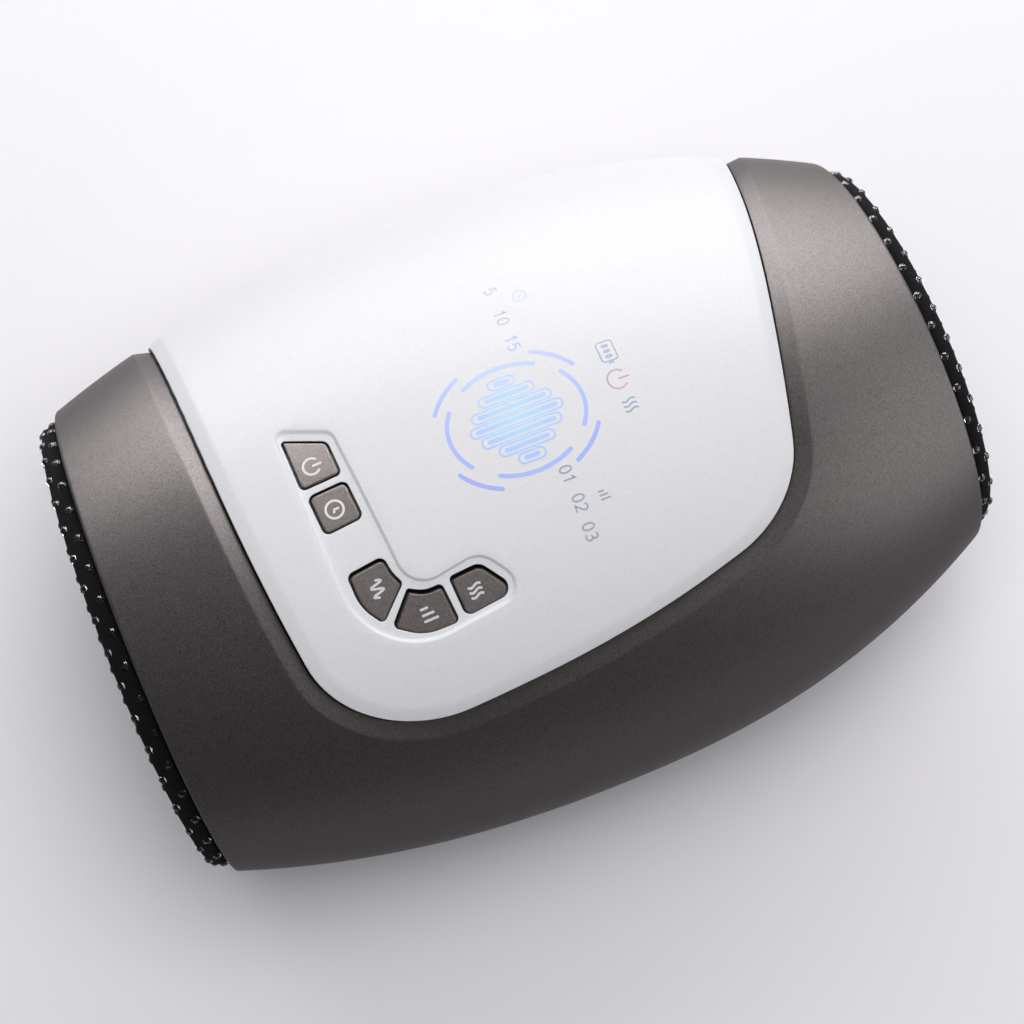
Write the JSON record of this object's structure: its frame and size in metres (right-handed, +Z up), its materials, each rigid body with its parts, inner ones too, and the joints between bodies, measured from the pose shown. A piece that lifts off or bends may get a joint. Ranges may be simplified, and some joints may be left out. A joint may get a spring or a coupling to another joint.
{
  "type": "hand compression massager",
  "caption": "Barrel-shaped hand compression massager with a padded tunnel through it, a flush control panel and an L-shaped group of keys.",
  "frame": {"origin": "on the surface that it stands on, under the middle of its outline", "axes": "+Y along the hand tunnel from the wide mouth to the narrow one, +X to the right with the hand going in along +Y, +Z up"},
  "size_m": [0.158, 0.219, 0.1058],
  "materials": {
    "casing": "grey-brown with a fine metallic speckle, satin",
    "panel_pearl": "pearl silver-white, soft gloss",
    "key_cap": "grey-brown, satin, with white printed symbols",
    "silicone": "translucent grey, matte",
    "circuit_board": "green solder mask",
    "screw_steel": "zinc plated",
    "motor_steel": "plated, satin",
    "port_steel": "bright plating",
    "white_moulding": "white, fine matte",
    "black_moulding": "black, fine matte",
    "cuff_fabric": "black knitted cloth with clear silicone dots",
    "lining_fabric": "black knitted cloth",
    "heater_film": "amber film with a printed track",
    "bag_film": "grey welded film",
    "hose_silicone": "milky, soft",
    "lead_insulation": "red, satin",
    "cell_wrap": "blue shrink wrap",
    "foot_rubber": "black, matte"
  },
  "bodies": {
    "casing": {"top_cover": "casing", "base_shell": "casing", "control_panel": "panel_pearl", "key_mat": "silicone", "control_board": "circuit_board", "board_screw_1": "screw_steel", "board_screw_2": "screw_steel", "board_screw_3": "screw_steel", "board_screw_4": "screw_steel", "light_box": "white_moulding", "buzzer": "black_moulding", "wide_cuff_ring": "black_moulding", "narrow_cuff_ring": "black_moulding", "wide_cuff": "cuff_fabric", "narrow_cuff": "cuff_fabric", "sleeve": "lining_fabric", "upper_frame": "white_moulding", "heater_film": "heater_film", "palm_airbag": "bag_film", "finger_airbag": "bag_film", "lower_airbag": "bag_film", "lower_frame": "white_moulding", "pump_motor": "motor_steel", "pump_head": "black_moulding", "air_manifold": "white_moulding", "valve_body_1": "black_moulding", "valve_body_2": "black_moulding", "battery_cell_1": "cell_wrap", "battery_cell_2": "cell_wrap", "battery_tray": "black_moulding", "charge_port": "port_steel", "charge_board": "circuit_board", "palm_hose": "hose_silicone", "finger_hose": "hose_silicone", "lower_hose": "hose_silicone", "battery_lead": "lead_insulation", "motor_lead": "lead_insulation", "foot_1": "foot_rubber", "foot_2": "foot_rubber", "foot_3": "foot_rubber", "foot_4": "foot_rubber", "cover_screw_1": "screw_steel", "cover_screw_2": "screw_steel", "cover_screw_3": "screw_steel", "cover_screw_4": "screw_steel", "cover_screw_5": "screw_steel", "cover_screw_6": "screw_steel"},
    "power_key_cap": {"power_key": "key_cap"},
    "time_key_cap": {"time_key": "key_cap"},
    "mode_key_cap": {"mode_key": "key_cap"},
    "intensity_key_cap": {"intensity_key": "key_cap"},
    "heat_key_cap": {"heat_key": "key_cap"},
    "palm_plate": {"massage_plate": "black_moulding"},
    "rotor": {"pump_rotor": "motor_steel"},
    "plunger_1": {"valve_plunger_1": "motor_steel"},
    "plunger_2": {"valve_plunger_2": "motor_steel"}
  },
  "joints": [
    {"name": "power_press", "type": "slide", "parent": "casing", "child": "power_key_cap", "axis": [0, 0, -1], "range_m": [0, 0.0006], "stiffness_N_per_m": 400, "springref_m": -0.0005, "deforming": ["key_mat"]},
    {"name": "time_press", "type": "slide", "parent": "casing", "child": "time_key_cap", "axis": [0, 0, -1], "range_m": [0, 0.0006], "stiffness_N_per_m": 400, "springref_m": -0.0005, "deforming": ["key_mat"]},
    {"name": "mode_press", "type": "slide", "parent": "casing", "child": "mode_key_cap", "axis": [0, 0, -1], "range_m": [0, 0.0006], "stiffness_N_per_m": 400, "springref_m": -0.0005, "deforming": ["key_mat"]},
    {"name": "intensity_press", "type": "slide", "parent": "casing", "child": "intensity_key_cap", "axis": [0, 0, -1], "range_m": [0, 0.0006], "stiffness_N_per_m": 400, "springref_m": -0.0005, "deforming": ["key_mat"]},
    {"name": "heat_press", "type": "slide", "parent": "casing", "child": "heat_key_cap", "axis": [0, 0, -1], "range_m": [0, 0.0006], "stiffness_N_per_m": 400, "springref_m": -0.0005, "deforming": ["key_mat"]},
    {"name": "palm_plate_lift", "type": "slide", "parent": "casing", "child": "palm_plate", "axis": [0, 0, 1], "range_m": [0, 0.004], "deforming": ["lower_airbag"]},
    {"name": "pump_rotor_spin", "type": "hinge", "parent": "casing", "child": "rotor", "pos_m": [-0.03128, 0, 0.0159], "axis": [0, 1, 0], "continuous": true},
    {"name": "valve_1_pull", "type": "slide", "parent": "casing", "child": "plunger_1", "axis": [0, 0, -1], "range_m": [0, 0.0008], "stiffness_N_per_m": 400, "springref_m": -0.002},
    {"name": "valve_2_pull", "type": "slide", "parent": "casing", "child": "plunger_2", "axis": [0, 0, -1], "range_m": [0, 0.0008], "stiffness_N_per_m": 400, "springref_m": -0.002}
  ]
}
